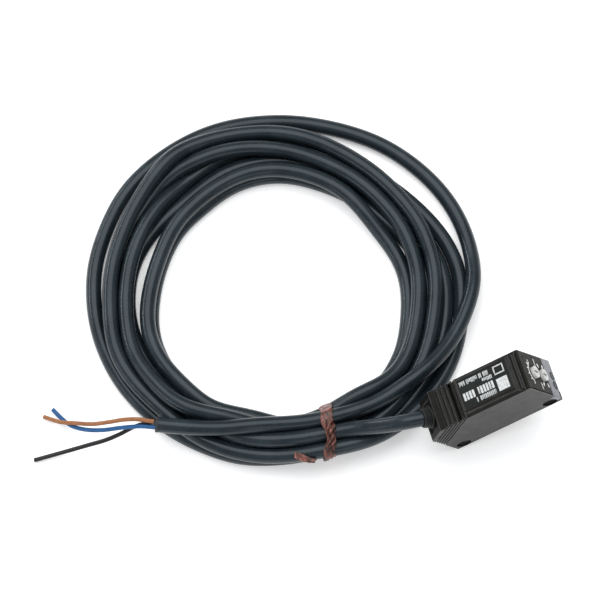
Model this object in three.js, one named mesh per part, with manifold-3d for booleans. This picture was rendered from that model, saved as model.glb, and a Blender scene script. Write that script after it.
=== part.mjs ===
// Diffuse-reflective photoelectric sensor with a built-in amplifier, its 2 m cable wound
// into a hank that a twist tie holds, and three bare-ended wires. Millimetres, +Z up.
//
// The housing is drawn in its own axes (x along its length from the cable end, y across its
// width, z from the lens face to the back) and then pitched up, because it stands on its
// lower lens-face edge while the stiff cable holds its indicator end in the air.
import * as THREE from "three";
import Module from "manifold-3d";
import { mergeVertices } from "three/addons/utils/BufferGeometryUtils.js";

// ---- driving dimensions -------------------------------------------------------------
const LENGTH = 31;                // cable end to indicator end
const DEPTH = 20;                 // lens face to back face
const WIDTH = 10.8;
const CASE_LENGTH = 30;           // the end covers take up the last millimetre
const WALL = 1.1;
const CHAMFER = 4.8;              // leg of the 45 degree cable corner
const EDGE = 0.3;                 // bevel along the case's side edges
const GAP = 0.1;                  // clearance between two fixed pieces
const PITCH = THREE.MathUtils.degToRad(28);
const ORIGIN_SHIFT = new THREE.Vector3(-8.569, 0, 0);   // housing to the row's origin

const HOLE_SPACING = 25.4;
const HOLE_FROM_FRONT = 2.1;
const HOLE_RADIUS = 1.5;
const HOLE_RECESS_RADIUS = 2.0;
const HOLE_RECESS_DEPTH = 0.8;
const HOLE_X = [(LENGTH - HOLE_SPACING) / 2, (LENGTH + HOLE_SPACING) / 2];

const GROOVE_COUNT = 5;
const GROOVE_FIRST = 7.0;         // where the first groove meets the back face
const GROOVE_STEP = 1.3;
const GROOVE_WIDTH = 0.4;
const GROOVE_DEPTH = 0.3;

const LABEL = { x: [12.9, 27.0], y: [-3.1, 4.5], recess: 0.4, thickness: 0.15 };

const WINDOW = { x: [6.2, 24.8], y: 4.5, thickness: 1.1, ledge: 1.0 };
const LENS_X = [10.6, 20.4];      // emitter, receiver
const LENS_RADIUS = 3.2;

const KNOB_Z = { sensitivity: 13.3, mode: 8.0 };
const KNOB_RADIUS = 1.6;
const KNOB_CLEARANCE = 0.15;
const KNOB_HEIGHT = 0.7;          // above the end face
const KNOB_SLOT_DEPTH = 0.5;
const COVER_FOOT = 5.6;           // the adjuster cover ends here, the indicator window begins

const CABLE_RADIUS = 2.0;
const WIRE_RADIUS = 0.55;
const CABLE_SIDES = 10;
const WIRE_SIDES = 8;

// Coil of cable: distances from its centre, as functions of the angle round it.
const COIL_CENTRE = new THREE.Vector2(-40.2, 46.5);
const COIL_STEPS = 44;
const COIL_HEIGHT = 7.3;
const COIL_LIFT = 0.9;            // room for the tie under the coil
const coilInner = (angle) => 32.4 - 0.9 * Math.sin(angle);
const coilOuter = (angle) => 48.4 + 3.0 * Math.cos(angle) + 2.8 * Math.sin(angle);

// ---- solids ---------------------------------------------------------------------------
const wasm = await Module();
wasm.setup();

function toManifold(geometry) {
  const bare = geometry.clone();
  bare.deleteAttribute("normal");
  bare.deleteAttribute("uv");
  const merged = mergeVertices(bare, 1e-4);
  const vertProperties = new Float32Array(merged.attributes.position.array);
  const triVerts = new Uint32Array(merged.index.array);
  return new wasm.Manifold(new wasm.Mesh({ numProp: 3, vertProperties, triVerts }));
}

function toGeometry(manifold) {
  const mesh = manifold.getMesh();
  const geometry = new THREE.BufferGeometry();
  geometry.setAttribute("position", new THREE.BufferAttribute(mesh.vertProperties, 3));
  geometry.setIndex(new THREE.BufferAttribute(mesh.triVerts, 1));
  geometry.computeVertexNormals();
  return geometry;
}

function cut(geometry, ...tools) {
  let solid = toManifold(geometry);
  for (const tool of tools) solid = solid.subtract(toManifold(tool));
  return toGeometry(solid);
}

function join(first, ...others) {
  let solid = toManifold(first);
  for (const other of others) solid = solid.add(toManifold(other));
  return toGeometry(solid);
}

function intersect(first, second) {
  return toGeometry(toManifold(first).intersect(toManifold(second)));
}

function box([x0, x1], [y0, y1], [z0, z1]) {
  const geometry = new THREE.BoxGeometry(x1 - x0, y1 - y0, z1 - z0);
  return geometry.translate((x0 + x1) / 2, (y0 + y1) / 2, (z0 + z1) / 2);
}

// A side-view outline of [x, z] points, extruded across the width from y0 to y1.
function sidePrism(outline, [y0, y1], bevel = 0) {
  const shape = new THREE.Shape(outline.map(([x, z]) => new THREE.Vector2(x, z)));
  const geometry = new THREE.ExtrudeGeometry(shape, {
    depth: y1 - y0 - 2 * bevel,
    bevelEnabled: bevel > 0,
    bevelThickness: bevel,
    bevelSize: bevel,
    bevelOffset: -bevel,
    bevelSegments: 1,
  });
  return geometry.rotateX(Math.PI / 2).translate(0, y1 - bevel, 0);
}

function cylinder(radius, length, segments = 24) {
  return new THREE.CylinderGeometry(radius, radius, length, segments);
}

// Cylinder across the width, through (x, z).
function crossHole(x, z, radius, [y0, y1]) {
  return cylinder(radius, y1 - y0).translate(x, (y0 + y1) / 2, z);
}

// A profile of [radius, distance] points turned round the local +Y axis, pointed along axis.
function turned(profile, origin, axis, segments = 24) {
  const points = profile.map(([radius, along]) => new THREE.Vector2(radius, along));
  const geometry = new THREE.LatheGeometry(points, segments);
  const turn = new THREE.Quaternion().setFromUnitVectors(new THREE.Vector3(0, 1, 0), axis);
  return geometry.applyQuaternion(turn).translate(origin.x, origin.y, origin.z);
}

function ringProfile(inner, outer, [start, end]) {
  return [[inner, start], [outer, start], [outer, end], [inner, end], [inner, start]];
}

function rodProfile(radius, [start, end]) {
  return [[0, start], [radius, start], [radius, end], [0, end]];
}

function tube(points, radius, sides, steps) {
  const path = new THREE.CatmullRomCurve3(points.map((p) => new THREE.Vector3(...p)), false, "centripetal");
  const corners = [];
  for (let i = 0; i < sides; i++) {
    const angle = (2 * Math.PI * i) / sides;
    corners.push(new THREE.Vector2(radius * Math.cos(angle), radius * Math.sin(angle)));
  }
  return new THREE.ExtrudeGeometry(new THREE.Shape(corners), { steps, extrudePath: path });
}

// ---- the case -------------------------------------------------------------------------
const HALF = WIDTH / 2;
const INSIDE = HALF - WALL;
const AXIS_X = new THREE.Vector3(1, 0, 0);
const AXIS_Z = new THREE.Vector3(0, 0, 1);
const CABLE_AXIS = new THREE.Vector3(-1, 0, 1).normalize();
const CABLE_FACE = new THREE.Vector3(CHAMFER / 2, 0, DEPTH - CHAMFER / 2);

function chamferedOutline(inset, [x0, x1]) {
  const corner = CHAMFER + inset * (Math.SQRT2 - 1) - inset;
  const back = DEPTH - inset;
  return [[x0, inset], [x1, inset], [x1, back], [x0 + corner, back], [x0, back - corner]];
}

function grooves() {
  const reach = 3 * DEPTH;
  let slabs = null;
  for (let i = 0; i < GROOVE_COUNT; i++) {
    const backX = GROOVE_FIRST + i * GROOVE_STEP;
    const slab = new THREE.BoxGeometry(reach, WIDTH + 2, GROOVE_WIDTH)
      .rotateY(-Math.PI / 4)
      .translate(backX, 0, DEPTH);
    slabs = slabs ? join(slabs, slab) : slab;
  }
  const core = sidePrism(
    [[-1, -1], [CASE_LENGTH + 1, -1], [CASE_LENGTH + 1, DEPTH - GROOVE_DEPTH], [-1, DEPTH - GROOVE_DEPTH]],
    [-HALF + GROOVE_DEPTH, HALF - GROOVE_DEPTH],
  );
  return cut(slabs, core);
}

function caseShell() {
  const outer = sidePrism(chamferedOutline(0, [0, CASE_LENGTH]), [-HALF, HALF], EDGE);
  const corner = CHAMFER + WALL * (Math.SQRT2 - 2);
  const boss = HOLE_FROM_FRONT + 2.5;
  const back = DEPTH - WALL;
  const cavity = sidePrism([
    [WALL, boss], [HOLE_X[0] + 2.6, boss], [HOLE_X[0] + 2.6, WINDOW.thickness + 0.4],
    [HOLE_X[1] - 2.8, WINDOW.thickness + 0.4], [HOLE_X[1] - 2.8, boss], [CASE_LENGTH + 1, boss],
    [CASE_LENGTH + 1, back], [WALL + corner, back], [WALL, back - corner],
  ], [-INSIDE, INSIDE]);
  const { x, y, thickness, ledge } = WINDOW;
  const tools = [
    cavity,
    box(x, [-y, y], [-1, thickness + GAP]),
    box([x[0] + ledge, x[1] - ledge], [ledge - y, y - ledge], [0, 3]),
    box(LABEL.x, LABEL.y, [DEPTH - LABEL.recess, DEPTH + 1]),
    box([28.4, CASE_LENGTH + 1], [-3.9, 3.9], [DEPTH - 0.6, DEPTH + 1]),
    turned(rodProfile(2.75, [-4, 1]), CABLE_FACE, CABLE_AXIS),
    grooves(),
  ];
  for (const holeX of HOLE_X) {
    tools.push(crossHole(holeX, HOLE_FROM_FRONT, HOLE_RADIUS, [-HALF - 1, HALF + 1]));
    for (const side of [-1, 1]) {
      const ends = [side * (HALF - HOLE_RECESS_DEPTH), side * (HALF + 1)].sort((a, b) => a - b);
      tools.push(crossHole(holeX, HOLE_FROM_FRONT, HOLE_RECESS_RADIUS, ends));
    }
  }
  return cut(outer, ...tools);
}

function labelPlate() {
  const floor = DEPTH - LABEL.recess;
  return box(
    [LABEL.x[0] + GAP, LABEL.x[1] - GAP],
    [LABEL.y[0] + GAP, LABEL.y[1] - GAP],
    [floor + GAP, floor + GAP + LABEL.thickness],
  );
}

// ---- indicator end --------------------------------------------------------------------
const COVER_BACK = CASE_LENGTH + GAP;

function adjusterCover() {
  const plate = box([COVER_BACK, LENGTH], [-HALF, HALF], [COVER_FOOT, DEPTH]);
  const lip = box([28.4 + GAP, COVER_BACK + 0.3], [-3.8, 3.8], [DEPTH - 0.5, DEPTH]);
  const holes = Object.values(KNOB_Z).map((z) =>
    turned(rodProfile(KNOB_RADIUS + KNOB_CLEARANCE, [-1, 2]), new THREE.Vector3(COVER_BACK, 0, z), AXIS_X));
  return cut(join(plate, lip), ...holes);
}

function indicatorWindow() {
  const round = 0.4;
  const shell = sidePrism([
    [COVER_BACK, 0], [LENGTH - round, 0], [LENGTH - 0.3 * round, 0.3 * round], [LENGTH, round],
    [LENGTH, COVER_FOOT - GAP], [COVER_BACK, COVER_FOOT - GAP],
  ], [-HALF, HALF]);
  return cut(shell, box([COVER_BACK - 1, LENGTH - 0.35], [-3.6, 3.6], [0.6, 4.9]));
}

// Head that stands proud of the cover, with a screwdriver slot, on a stem into the rotor.
function adjusterKnob(z) {
  const top = LENGTH + KNOB_HEIGHT;
  const knob = turned(
    [[0, 27.9], [0.9, 27.9], [0.9, 29.95], [KNOB_RADIUS, 29.95], [KNOB_RADIUS, top - 0.15],
      [KNOB_RADIUS - 0.15, top], [0, top]],
    new THREE.Vector3(0, 0, z), AXIS_X,
  );
  const slotDepth = [top - KNOB_SLOT_DEPTH, top + 1];
  const slot = box(slotDepth, [-0.28, 0.28], [z - 1.35, z + 1.35]);
  const cross = box(slotDepth, [-0.8, 0.8], [z - 0.28, z + 0.28]);
  return cut(knob, slot, cross);
}

function knobSeal(z) {
  const section = [];
  for (let i = 0; i <= 8; i++) {
    const angle = (2 * Math.PI * i) / 8;
    section.push([1.34 + 0.3 * Math.cos(angle), 29.55 + 0.3 * Math.sin(angle)]);
  }
  return turned(section, new THREE.Vector3(0, 0, z), AXIS_X);
}

function adjusterFrame() {
  const plate = box([28.5, 29.1], [-INSIDE + GAP, INSIDE - GAP], [5.0, 18.6]);
  const bores = Object.values(KNOB_Z).map((z) =>
    turned(rodProfile(1.05, [-1, 2]), new THREE.Vector3(28.5, 0, z), AXIS_X));
  return cut(plate, ...bores);
}

// The part that turns inside the trimmer or switch.
function rotor(z) {
  return turned(rodProfile(1.4, [27.2, 27.8]), new THREE.Vector3(0, 0, z), AXIS_X, 16);
}

function rotorHousing(z, back) {
  const body = box([back, 27.9], [-2.3, 2.3], [z - 2.3, z + 2.3]);
  const well = turned(rodProfile(1.6, [27.05, 29]), new THREE.Vector3(0, 0, z), AXIS_X, 16);
  return cut(body, well);
}

// ---- optics ---------------------------------------------------------------------------
function frontWindow() {
  const { x, y, thickness } = WINDOW;
  const width = x[1] - x[0] - 2 * GAP;
  const height = 2 * (y - GAP);
  const radius = 0.6;
  const shape = new THREE.Shape();
  shape.moveTo(radius, 0).lineTo(width - radius, 0);
  shape.absarc(width - radius, radius, radius, -Math.PI / 2, 0);
  shape.absarc(width - radius, height - radius, radius, 0, Math.PI / 2);
  shape.absarc(radius, height - radius, radius, Math.PI / 2, Math.PI);
  shape.absarc(radius, radius, radius, Math.PI, 1.5 * Math.PI);
  const plate = new THREE.ExtrudeGeometry(shape, { depth: thickness, bevelEnabled: false, curveSegments: 3 });
  return plate.translate(x[0] + GAP, GAP - y, 0);
}

// Plano-convex: flat towards the window, crowned towards the element behind it.
function lens(x) {
  const profile = [[0, 0], [LENS_RADIUS, 0], [LENS_RADIUS, 0.4]];
  for (let i = 1; i <= 4; i++) {
    const angle = (i / 4) * (Math.PI / 2);
    profile.push([LENS_RADIUS * Math.cos(angle) * 0.97, 0.4 + 1.0 * Math.sin(angle)]);
  }
  profile[profile.length - 1][0] = 0;
  return turned(profile, new THREE.Vector3(x, 0, 1.7), AXIS_Z, 20);
}

function opticalHolder() {
  const block = box([5.9, 24.9], [-4.1, 4.1], [3.5, 9.0]);
  const tunnels = LENS_X.map((x) =>
    turned([[0, -1], [2.9, -1], [2.2, 6.6], [0, 6.6]], new THREE.Vector3(x, 0, 3.5), AXIS_Z));
  return cut(block, ...tunnels);
}

function emitterLed() {
  return turned(
    [[0, 6.0], [0.75, 6.2], [1.3, 6.8], [1.45, 7.5], [1.45, 9.6], [1.75, 9.6], [1.75, 10.2], [0, 10.2]],
    new THREE.Vector3(LENS_X[0], 0, 0), AXIS_Z, 16,
  );
}

function shieldCan() {
  const can = box([LENS_X[1] - 3.1, LENS_X[1] + 3.1], [-2.2, 3.8], [9.2, 12.2]);
  const hollow = box([LENS_X[1] - 2.8, LENS_X[1] + 2.8], [-1.9, 3.5], [8, 11.9]);
  return cut(can, hollow);
}

// ---- electronics ----------------------------------------------------------------------
const BOARD_FACE = -2.6;

function mainCircuitBoard() {
  return sidePrism([
    [7.7, 9.6], [25.7, 9.6], [25.7, 5.2], [28.2, 5.2], [28.2, 18.4], [7.7, 18.4],
  ], [BOARD_FACE - 0.8, BOARD_FACE]);
}

// ---- cable entry ----------------------------------------------------------------------
function cableBushing() {
  const bore = CABLE_RADIUS + 0.2;
  const profile = [
    [bore, -2.5], [2.85, -2.5], [2.85, -1.5], [2.6, -1.5], [2.6, GAP], [2.9, GAP], [2.9, 0.45],
    [2.5, 0.6], [2.4, 0.9], [2.6, 1.15], [2.6, 1.5], [2.4, 1.75], [2.6, 2.0], [2.6, 2.35],
    [2.4, 2.6], [2.55, 2.85], [2.55, 3.2], [bore, 3.2], [bore, -2.5],
  ];
  return turned(profile, CABLE_FACE, CABLE_AXIS);
}

function cableClamp() {
  return turned(ringProfile(CABLE_RADIUS + 0.15, 2.6, [-4.5, -3.1]), CABLE_FACE, CABLE_AXIS);
}

// ---- cable, coil, wires and tie, in the row's frame -------------------------------------
const LEAD_ROUTE = [
  [-9.95, 0, 15.2], [-13.75, 0, 16.36], [-17.75, 0, 17.58], [-20.5, 0.3, 18.2], [-23.5, 1.2, 18.0],
  [-26.5, 2.3, 16.6], [-29.5, 3.4, 14.6], [-32.5, 4.3, 12.8], [-35.5, 5.0, 11.5], [-39, 5.4, 10.9],
  [-43, 5.7, 10.7], [-47, 6.0, 10.6],
];
const TAIL_ROUTE = [
  [-34.5, 10.3, 10.6], [-39, 9.9, 10.6], [-43, 10.1, 10.6], [-46, 10.5, 10.6], [-52, 11.9, 10.6],
  [-57.9, 13.4, 10.6], [-64, 15.4, 10.5], [-69.9, 17.5, 10.3], [-75, 19.5, 10.1], [-79.9, 21.6, 9.8],
];
const WIRE_ROUTES = {
  brown: [
    [-80.3, 22.3, 10.4], [-83.9, 24.2, 10.1], [-87.3, 25.6, 9.0], [-90.9, 26.6, 7.6],
    [-95.0, 28.0, 5.8], [-98.9, 30.1, 4.1], [-102.3, 32.0, 2.7], [-105.7, 35.2, 0.8],
  ],
  blue: [
    [-80.2, 21.0, 9.4], [-84.0, 22.7, 8.9], [-88.4, 24.3, 7.3], [-93.0, 25.8, 5.4],
    [-97.0, 27.8, 3.8], [-99.9, 30.2, 2.6], [-101.6, 33.2, 1.4], [-103.0, 36.4, 0.7],
  ],
  black: [
    [-80.7, 22.6, 9.1], [-82.9, 23.3, 8.2], [-85.6, 23.6, 6.9], [-88.8, 23.4, 5.6],
    [-92.8, 23.4, 4.2], [-97.5, 23.9, 2.9], [-103.5, 24.4, 1.8], [-111.5, 25.0, 0.7],
  ],
};

// A lathe ring whose two rims are moved in or out at each angle.
function coilRing() {
  const corners = 12;
  const profile = [];
  for (let i = 0; i <= corners; i++) {
    const angle = (2 * Math.PI * i) / corners;
    profile.push(new THREE.Vector2(2 + Math.cos(angle), Math.sin(angle)));
  }
  const geometry = new THREE.LatheGeometry(profile, COIL_STEPS);
  const place = geometry.attributes.position;
  for (let i = 0; i < place.count; i++) {
    const x = place.getX(i);
    const y = -place.getZ(i);
    const across = Math.hypot(x, y) - 2;
    const angle = Math.atan2(y, x);
    const middle = (coilOuter(angle) + coilInner(angle)) / 2;
    const halfWidth = (coilOuter(angle) - coilInner(angle)) / 2;
    const radius = middle + across * halfWidth;
    const height = COIL_LIFT + (COIL_HEIGHT / 2) * (1 + place.getY(i));
    place.setXYZ(
      i,
      COIL_CENTRE.x + radius * Math.cos(angle),
      COIL_CENTRE.y + radius * Math.sin(angle),
      height,
    );
  }
  return geometry;
}

const TIE_X = [-41.2, -36.6];

function closedShape(points) {
  const curve = new THREE.CatmullRomCurve3(points.map(([y, z]) => new THREE.Vector3(y, z, 0)), true);
  return curve.getPoints(28).slice(0, 28).map((p) => new THREE.Vector2(p.x, p.y));
}

// A band round the bundle, its twisted knot on top, and one flat end lying along the outside.
function twistTie() {
  const outline = (grow) => [
    [-0.1 - grow, 4.5], [2.0 - grow, 0.55 - grow * 0.75], [7.0, 0.5 - grow * 0.5], [12.0 + grow, 0.55 - grow * 0.75],
    [14.2 + grow, 5.5], [13.0 + grow, 11.5 + grow], [10.0, 13.1 + grow], [5.4, 13.4 + grow], [1.9 - grow, 11.5 + grow],
  ];
  const shape = new THREE.Shape(closedShape(outline(0.45)));
  shape.holes.push(new THREE.Path(closedShape(outline(0)).reverse()));
  const band = new THREE.ExtrudeGeometry(shape, { depth: TIE_X[1] - TIE_X[0], bevelEnabled: false });
  const across = new THREE.Matrix4().makeBasis(
    new THREE.Vector3(0, 1, 0), new THREE.Vector3(0, 0, 1), new THREE.Vector3(1, 0, 0));
  band.applyMatrix4(across).translate(TIE_X[0], 0, 0);
  const knot = new THREE.SphereGeometry(1, 10, 8).scale(2.0, 3.0, 1.0).translate(-39.3, 5.6, 14.3);
  const strip = box([-4, 4], [-0.2, 0.2], [-1.3, 1.3]).rotateY(0.12).translate(-45.0, -0.15, 7.4);
  return join(band, knot, strip);
}

// ---- assembly -------------------------------------------------------------------------
const COLOURS = {
  case: [0x2b2d2c, 0.45, 0], label: [0x202524, 0.55, 0], cover: [0x55564a, 0.25, 0],
  clear: [0xdfe6ee, 0.08, 0], filter: [0x3a0f12, 0.1, 0], cream: [0xf2f0e6, 0.5, 0],
  rubber: [0x1a1a1a, 0.8, 0], board: [0x1f5a35, 0.6, 0], chip: [0x17181a, 0.6, 0],
  metal: [0xb9bcc0, 0.35, 1], black: [0x111213, 0.7, 0], green: [0x4fae5a, 0.2, 0],
  orange: [0xd9772b, 0.2, 0], cable: [0x23282b, 0.4, 0], brown: [0xb5672e, 0.4, 0],
  blue: [0x1f78d0, 0.4, 0], tie: [0x8a4a38, 0.6, 0], ceramic: [0xb48a5a, 0.5, 0],
};

function named(name, geometry, colour) {
  const [color, roughness, metalness] = COLOURS[colour];
  const mesh = new THREE.Mesh(geometry, new THREE.MeshStandardMaterial({ color, roughness, metalness }));
  mesh.name = name;
  return mesh;
}

const housing = new THREE.Group();
housing.rotation.y = -PITCH;
housing.position.copy(ORIGIN_SHIFT);
housing.add(
  named("case_shell", caseShell(), "case"),
  named("label_plate", labelPlate(), "label"),
  named("adjuster_cover", adjusterCover(), "cover"),
  named("indicator_window", indicatorWindow(), "clear"),
  named("indicator_board", box([COVER_BACK + 0.02, COVER_BACK + 0.15], [-3.4, 3.4], [0.8, 4.7]), "board"),
  named("stability_led", box([COVER_BACK + 0.2, COVER_BACK + 0.5], [0.2, 1.5], [1.1, 2.4]), "green"),
  named("operation_led", box([COVER_BACK + 0.2, COVER_BACK + 0.5], [-2.4, -1.1], [1.1, 2.4]), "orange"),
  named("sensitivity_knob", adjusterKnob(KNOB_Z.sensitivity), "cream"),
  named("mode_knob", adjusterKnob(KNOB_Z.mode), "cream"),
  named("sensitivity_seal", knobSeal(KNOB_Z.sensitivity), "rubber"),
  named("mode_seal", knobSeal(KNOB_Z.mode), "rubber"),
  named("adjuster_frame", adjusterFrame(), "black"),
  named("sensitivity_rotor", rotor(KNOB_Z.sensitivity), "metal"),
  named("mode_rotor", rotor(KNOB_Z.mode), "metal"),
  named("sensitivity_potentiometer", rotorHousing(KNOB_Z.sensitivity, 24.6), "ceramic"),
  named("mode_switch", rotorHousing(KNOB_Z.mode, 25.6), "chip"),
  named("front_window", frontWindow(), "filter"),
  named("emitter_lens", lens(LENS_X[0]), "clear"),
  named("receiver_lens", lens(LENS_X[1]), "clear"),
  named("optical_holder", opticalHolder(), "black"),
  named("emitter_led", emitterLed(), "clear"),
  named("receiver_photodiode", box([LENS_X[1] - 1.5, LENS_X[1] + 1.5], [-1.4, 1.4], [9.3, 10.6]), "chip"),
  named("shield_can", shieldCan(), "metal"),
  named("main_circuit_board", mainCircuitBoard(), "board"),
  named("control_ic", box([9.6, 14.4], [BOARD_FACE + GAP, BOARD_FACE + 1.2], [12.6, 17.2]), "chip"),
  named("output_transistor", box([16.2, 19.2], [BOARD_FACE + GAP, BOARD_FACE + 1.3], [14.2, 17.0]), "chip"),
  named("filter_capacitor", crossHole(22.2, 15.6, 1.5, [BOARD_FACE + GAP, 1.6]), "metal"),
  named("cable_bushing", cableBushing(), "black"),
  named("cable_clamp", cableClamp(), "metal"),
);

// Conductors inside the case, from the end of the sheath to the board's solder pads.
const SHEATH_END = CABLE_FACE.clone().addScaledVector(CABLE_AXIS, -5.5);
const CONDUCTORS = [["brown", 0.95, 16.6], ["blue", -0.15, 13.9], ["black", 0.4, 11.2]];
for (const [colour, y, padZ] of CONDUCTORS) {
  const lift = (padZ - 13.9) * 0.33;
  const route = [
    [SHEATH_END.x + lift * 0.7, y, SHEATH_END.z + lift * 0.7],
    [SHEATH_END.x + 0.9 + lift * 0.4, y, SHEATH_END.z + lift * 1.4 - 0.4],
    [8.4, y * 0.5 - 0.4, padZ],
    [8.7, -2.2, padZ],
  ];
  housing.add(named(`conductor_${colour}`, tube(route, 0.45, 6, 8), colour));
}

const part = new THREE.Group();
part.add(
  housing,
  named("cable_lead", tube(LEAD_ROUTE, CABLE_RADIUS, CABLE_SIDES, 16), "cable"),
  named("cable_coil", coilRing(), "cable"),
  named("cable_tail", tube(TAIL_ROUTE, CABLE_RADIUS, CABLE_SIDES, 14), "cable"),
  named("twist_tie", twistTie(), "tie"),
);
for (const [colour, route] of Object.entries(WIRE_ROUTES)) {
  part.add(named(`wire_${colour}`, tube(route, WIRE_RADIUS, WIRE_SIDES, 14), colour));
}

export default part;
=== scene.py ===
"""The visible surfaces of a photoelectric sensor: housing, cable coil, wires and twist tie."""

import math

import bmesh
import bpy
import numpy as np
from mathutils import Matrix, Vector


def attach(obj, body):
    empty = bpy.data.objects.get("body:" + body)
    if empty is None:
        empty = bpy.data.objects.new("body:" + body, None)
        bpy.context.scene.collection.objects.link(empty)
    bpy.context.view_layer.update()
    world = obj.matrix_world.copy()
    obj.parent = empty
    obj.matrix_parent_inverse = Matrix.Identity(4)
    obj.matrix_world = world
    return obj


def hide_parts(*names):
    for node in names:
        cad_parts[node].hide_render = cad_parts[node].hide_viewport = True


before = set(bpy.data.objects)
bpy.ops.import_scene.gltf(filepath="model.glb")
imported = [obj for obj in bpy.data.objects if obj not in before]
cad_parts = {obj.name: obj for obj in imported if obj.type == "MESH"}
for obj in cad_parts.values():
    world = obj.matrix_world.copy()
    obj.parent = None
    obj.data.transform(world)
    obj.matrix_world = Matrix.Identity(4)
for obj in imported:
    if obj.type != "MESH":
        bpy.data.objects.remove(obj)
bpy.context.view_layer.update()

MM = 0.001
BODY = "housing"

# ---- driving sizes, in millimetres, as the CAD part has them
PITCH = math.radians(28)
ORIGIN_SHIFT = Vector((-8.569, 0, 0))
LENGTH, DEPTH, WIDTH = 31.0, 20.0, 10.8
HALF = WIDTH / 2
CASE_LENGTH = 30.0
CHAMFER = 4.8
WALL = 1.1
CABLE_DIAMETER = 4.0
WIRE_DIAMETER = 1.1
COIL_CENTRE = Vector((-40.2, 46.5))

# The housing's own axes: x from the cable end, y across, z from the lens face to the back.
HOUSING = Matrix.Translation(ORIGIN_SHIFT * MM) @ Matrix.Rotation(-PITCH, 4, "Y")


def placed(name, data):
    """A new object in the scene."""
    thing = bpy.data.objects.new(name, data)
    bpy.context.scene.collection.objects.link(thing)
    return thing


# ---- camera, floor and light
VIEW_ANGLES = (-18.13, 70.9)      # round and up, in degrees
VIEW_LEFT, VIEW_UP = 39.65, 34.2  # from the case's corner to the middle of the picture
VIEW_DISTANCE = 1500
LENS, SENSOR_WIDTH = 361.2, 36


def make_camera():
    """High in front of the coil, a little to its left, with a long lens."""
    azimuth, elevation = map(math.radians, VIEW_ANGLES)
    right = Vector((math.cos(azimuth), math.sin(azimuth), 0))
    level_back = Vector((math.sin(azimuth), -math.cos(azimuth), 0))
    back = level_back * math.cos(elevation) + Vector((0, 0, math.sin(elevation)))
    up = back.cross(right)
    target = ORIGIN_SHIFT - right * VIEW_LEFT + up * VIEW_UP
    data = bpy.data.cameras.new("camera")
    data.sensor_width = SENSOR_WIDTH
    data.lens = LENS
    data.clip_start, data.clip_end = 0.05, 20
    camera = placed("camera", data)
    camera.location = (target + back * VIEW_DISTANCE) * MM
    camera.rotation_euler = back.to_track_quat("Z", "Y").to_euler()
    bpy.context.scene.camera = camera


LIT_SPOT = Vector((-0.04, 0.04, 0))
PANELS = {                        # place and size in metres, and watts
    "overhead_panel": ((0.05, 0.45, 1.6), (1.9, 1.5), 24),
    "front_panel": ((0.1, -1.4, 0.7), (1.2, 0.5), 2.5),
    "rear_strip": ((-0.8, 0.9, 0.45), (1.0, 0.07), 4.5),
    "left_strip": ((-1.15, -0.15, 0.4), (0.8, 0.06), 2),
}


def area_light(name, place, size, power):
    data = bpy.data.lights.new(name, "AREA")
    data.shape = "RECTANGLE"
    data.size, data.size_y = size
    data.energy = power
    light = placed(name, data)
    light.location = place
    light.rotation_euler = (Vector(place) - LIT_SPOT).to_track_quat("Z", "Y").to_euler()


def make_studio():
    """A pale floor that glows a little, an even room, and soft panels."""
    scene = bpy.context.scene
    scene.view_settings.view_transform = "Standard"
    world = bpy.data.worlds.new("studio")
    scene.world = world
    world.use_nodes = True
    background = world.node_tree.nodes["Background"]
    background.inputs["Color"].default_value = (0.95, 0.98, 1.0, 1)
    background.inputs["Strength"].default_value = 0.5
    for name, panel in PANELS.items():
        area_light(name, *panel)
    shape = bmesh.new()
    bmesh.ops.create_grid(shape, x_segments=8, y_segments=8, size=4)
    floor = placed("floor", mesh_of(shape, "floor"))
    paint = Surface("floor_light_table", (0.93, 0.93, 0.93), 0.8, Emission_Strength=0.32)
    paint.set("Emission Color", (1, 1, 1, 1))
    grain = paint.noise(0.002, detail=2)
    paint.color_between(grain, (0.92, 0.92, 0.92), (0.94, 0.94, 0.94))
    floor.data.materials.append(paint.material)


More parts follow.
